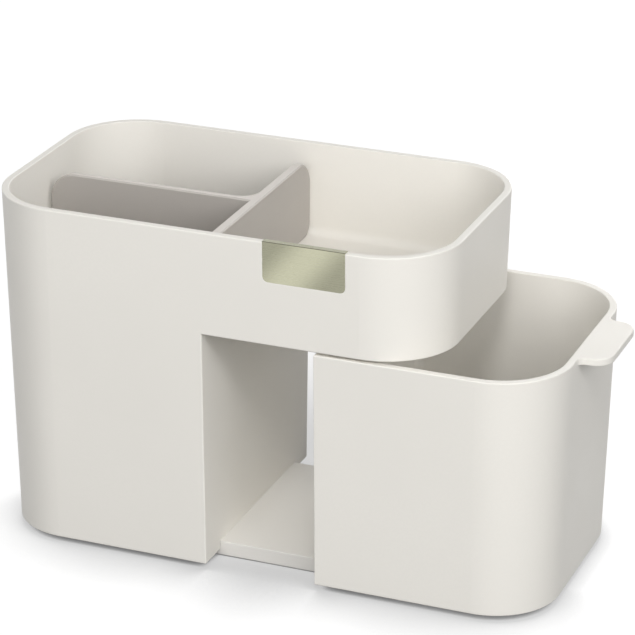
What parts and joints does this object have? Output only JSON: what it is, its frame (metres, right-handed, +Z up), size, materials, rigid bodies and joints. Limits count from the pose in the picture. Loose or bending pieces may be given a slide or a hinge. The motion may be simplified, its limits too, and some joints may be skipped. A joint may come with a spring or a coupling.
{
  "type": "makeup organizer with drawer",
  "caption": "Compact rounded desk organiser: deep divided bin, shallow tray and a pull-out drawer riding on a base tongue beneath the tray.",
  "frame": {"origin": "middle of the base plate's underside, straight below the bay side of the recess wall", "axes": "+X to the drawer side, along which the drawer opens; +Y to the back; +Z up"},
  "size_m": [0.2596, 0.12, 0.1526],
  "materials": {
    "shell_plastic": "fine satin moulded, warm off-white",
    "base_plastic": "fine satin moulded, warm off-white",
    "drawer_plastic": "fine satin moulded, warm off-white",
    "divider_plastic": "fine satin moulded, warm grey",
    "clip_metal": "brushed and anodised, pale champagne",
    "foot_rubber": "soft non-slip"
  },
  "bodies": {
    "body": {"body_shell": "shell_plastic", "base_plate": "base_plastic", "foot_front_left": "foot_rubber", "foot_front_right": "foot_rubber", "foot_rear_left": "foot_rubber", "foot_rear_right": "foot_rubber", "badge_clip": "clip_metal"},
    "divider": {"divider_insert": "divider_plastic"},
    "drawer": {"drawer": "drawer_plastic"}
  },
  "joints": [
    {"name": "drawer_slide", "type": "slide", "parent": "body", "child": "drawer", "axis": [1, 0, 0], "range_m": [-0.0482, 0.0238]},
    {"name": "divider_lift", "type": "slide", "parent": "body", "child": "divider", "axis": [0, 0, 1], "range_m": [0, 0.145]}
  ]
}
